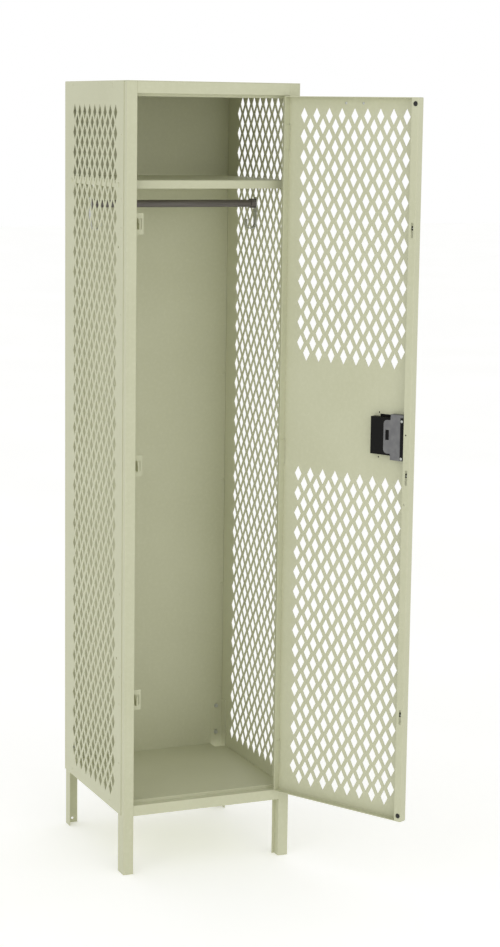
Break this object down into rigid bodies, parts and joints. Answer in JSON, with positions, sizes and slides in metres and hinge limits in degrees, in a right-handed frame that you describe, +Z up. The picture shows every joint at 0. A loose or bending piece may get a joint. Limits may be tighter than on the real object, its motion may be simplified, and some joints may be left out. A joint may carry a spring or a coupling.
{
  "type": "school locker",
  "caption": "Tall single-tier ventilated school locker on legs: perforated sides and door, hat shelf, coat rod, side hooks, recessed lift handle with lock bar and padlock eye.",
  "frame": {"origin": "on the floor, under the middle of the cabinet's footprint", "axes": "+Z up; the front faces -Y and the back +Y; +X is to the right when facing the front. The door hangs on the right jamb and stands open at rest."},
  "size_m": [0.6176, 0.8218, 1.9812],
  "materials": {
    "body_paint": "satin",
    "zinc_steel": "satin",
    "dark_steel": "satin",
    "black_enamel": "satin",
    "grey_steel": "matte",
    "rubber": "matte",
    "aluminium": "satin"
  },
  "bodies": {
    "cabinet": {"frame_upright_left": "body_paint", "frame_upright_right": "body_paint", "frame_top_rail": "body_paint", "frame_bottom_rail": "body_paint", "side_panel_left": "body_paint", "side_panel_right": "body_paint", "back_panel": "body_paint", "top_panel": "body_paint", "bottom_panel": "body_paint", "rear_leg_left": "body_paint", "rear_leg_right": "body_paint", "hat_shelf": "body_paint", "coat_rod": "dark_steel", "rod_socket_left": "dark_steel", "rod_socket_right": "dark_steel", "coat_hook_left": "zinc_steel", "coat_hook_right": "zinc_steel", "latch_hook_top": "body_paint", "latch_hook_middle": "body_paint", "latch_hook_bottom": "body_paint", "hinge_frame_leaves": "body_paint", "hinge_pins": "zinc_steel", "side_rivets": "body_paint", "back_rivets": "body_paint", "top_rivets": "body_paint", "shelf_bolts": "body_paint", "rear_leg_bolts": "zinc_steel"},
    "door": {"door_panel": "body_paint", "hinge_door_leaves": "body_paint", "handle_pocket": "black_enamel", "padlock_staple": "grey_steel", "lock_cover": "grey_steel", "latch_guard": "black_enamel", "cover_rivets": "zinc_steel", "lock_bar_guides": "zinc_steel", "bumpers": "rubber", "number_plate": "aluminium", "number_plate_rivets": "zinc_steel"},
    "lock_mechanism": {"lift_handle": "black_enamel", "lock_bar": "dark_steel", "keeper_pins": "zinc_steel"}
  },
  "joints": [
    {"name": "door_hinge", "type": "hinge", "parent": "cabinet", "child": "door", "pos_m": [0.1995, -0.2306, 1.0668], "axis": [0, 0, 1], "range_deg": [-118.3, 61.5]},
    {"name": "handle_lift", "type": "slide", "parent": "door", "child": "lock_mechanism", "axis": [0, 0, 1], "range_m": [0, 0.016]}
  ]
}
